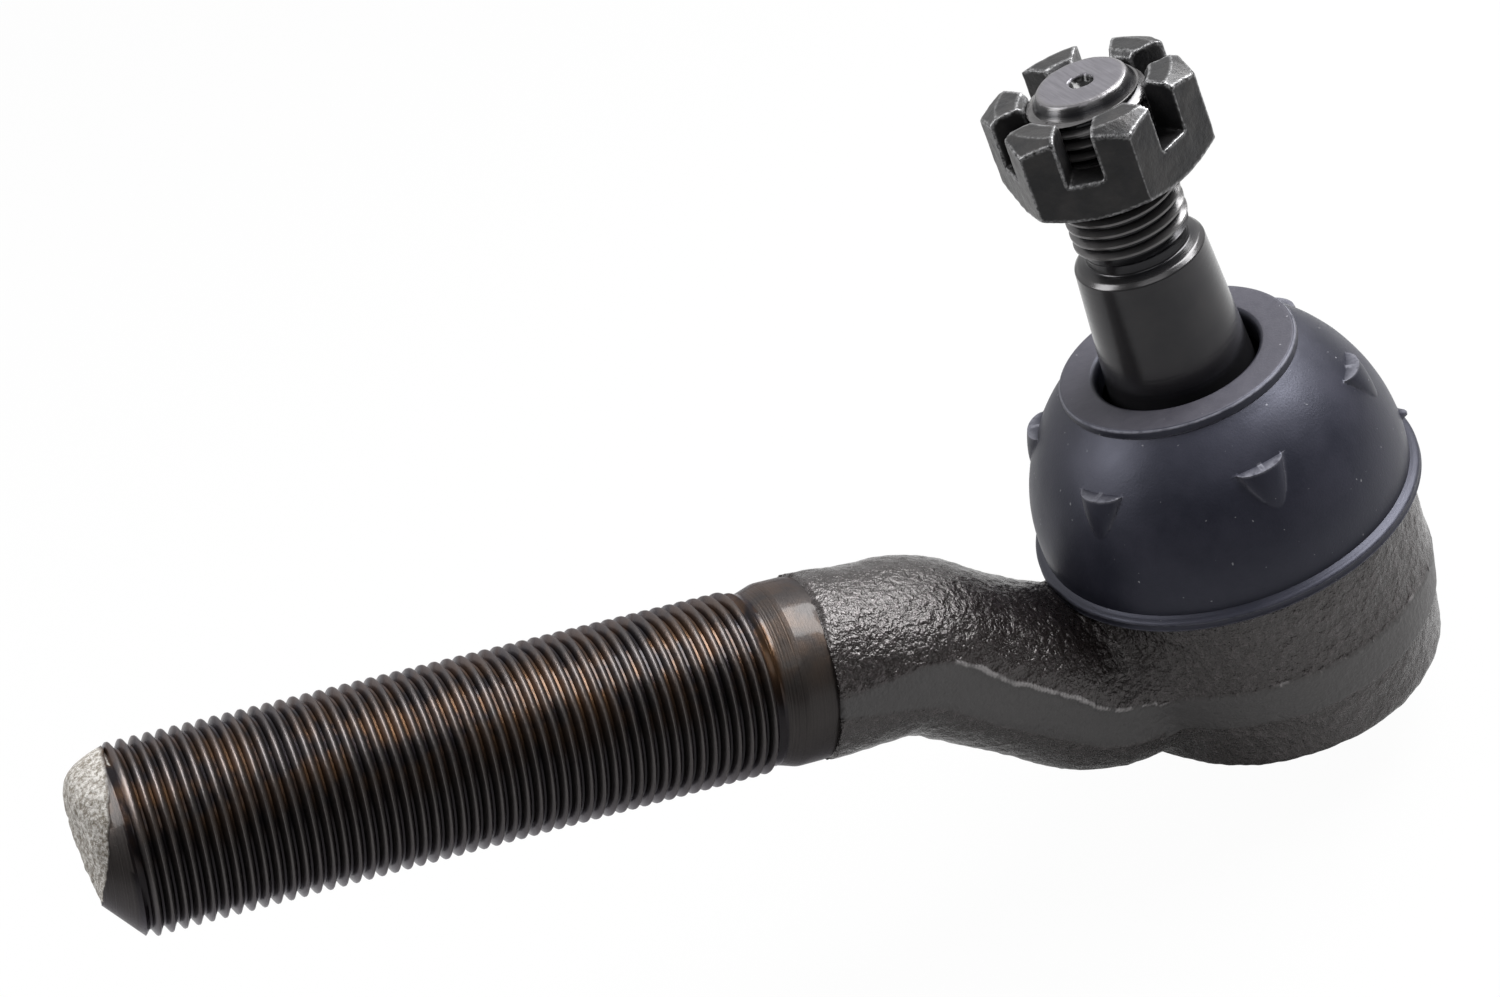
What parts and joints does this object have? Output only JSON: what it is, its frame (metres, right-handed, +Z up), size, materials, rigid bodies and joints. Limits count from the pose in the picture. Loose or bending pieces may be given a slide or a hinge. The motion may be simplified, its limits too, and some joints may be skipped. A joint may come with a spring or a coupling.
{
  "type": "tie rod end",
  "caption": "Steering tie rod end: threaded forged shank with an offset neck, spring-loaded tilting ball stud, rubber dust cover, slotted nut and grease fitting.",
  "frame": {"origin": "centre of the ball, where the shank's axis and the stud's axis cross", "axes": "+Z up the stud at rest, square to the socket's top face; the shank leaves toward -X and rises 18.7 degrees; +Y completes the frame"},
  "size_m": [0.1624, 0.048, 0.0963],
  "materials": {
    "forged_steel": "black-brown oxide on a forged and shot-cleaned surface, oily sheen on the thread",
    "stud_steel": "satin black phosphate",
    "nut_steel": "dark grey phosphate, worn brighter on the edges",
    "boot_rubber": "moulded satin rubber with chalky bloom",
    "sintered_steel": "grey sintered steel soaked in oil",
    "spring_steel": "blue-black spring steel",
    "cover_steel": "pressed sheet, dark oxide",
    "plated_steel": "zinc plated"
  },
  "bodies": {
    "forging": {"housing": "forged_steel", "lower_bearing_seat": "sintered_steel", "preload_spring": "spring_steel", "end_cover_plate": "cover_steel", "grease_fitting_body": "plated_steel", "grease_fitting_spring": "spring_steel"},
    "boot": {"dust_boot": "boot_rubber"},
    "half_ball": {"half_ball_bearing": "sintered_steel"},
    "stud": {"ball_stud": "stud_steel"},
    "nut": {"castle_nut": "nut_steel"},
    "check_ball": {"grease_fitting_ball": "plated_steel"}
  },
  "joints": [
    {"name": "boot_turn", "type": "hinge", "parent": "forging", "child": "boot", "pos_m": [0, 0, 0], "axis": [0, 0, 1], "continuous": true},
    {"name": "stud_tilt", "type": "hinge", "parent": "boot", "child": "half_ball", "pos_m": [0, 0, 0], "axis": [0, 1, 0], "range_deg": [-25, 25], "deforming": ["dust_boot"]},
    {"name": "stud_spin", "type": "hinge", "parent": "half_ball", "child": "stud", "pos_m": [0, 0, 0], "axis": [0, 0, 1], "continuous": true},
    {"name": "nut_turn", "type": "hinge", "parent": "stud", "child": "nut", "pos_m": [0, 0, 0.06], "axis": [0, 0, 1], "continuous": true},
    {"name": "check_ball_lift", "type": "slide", "parent": "forging", "child": "check_ball", "axis": [0, 0, 1], "range_m": [0, 0.0006], "stiffness_N_per_m": 50, "springref_m": -0.0005, "deforming": ["grease_fitting_spring"]}
  ]
}
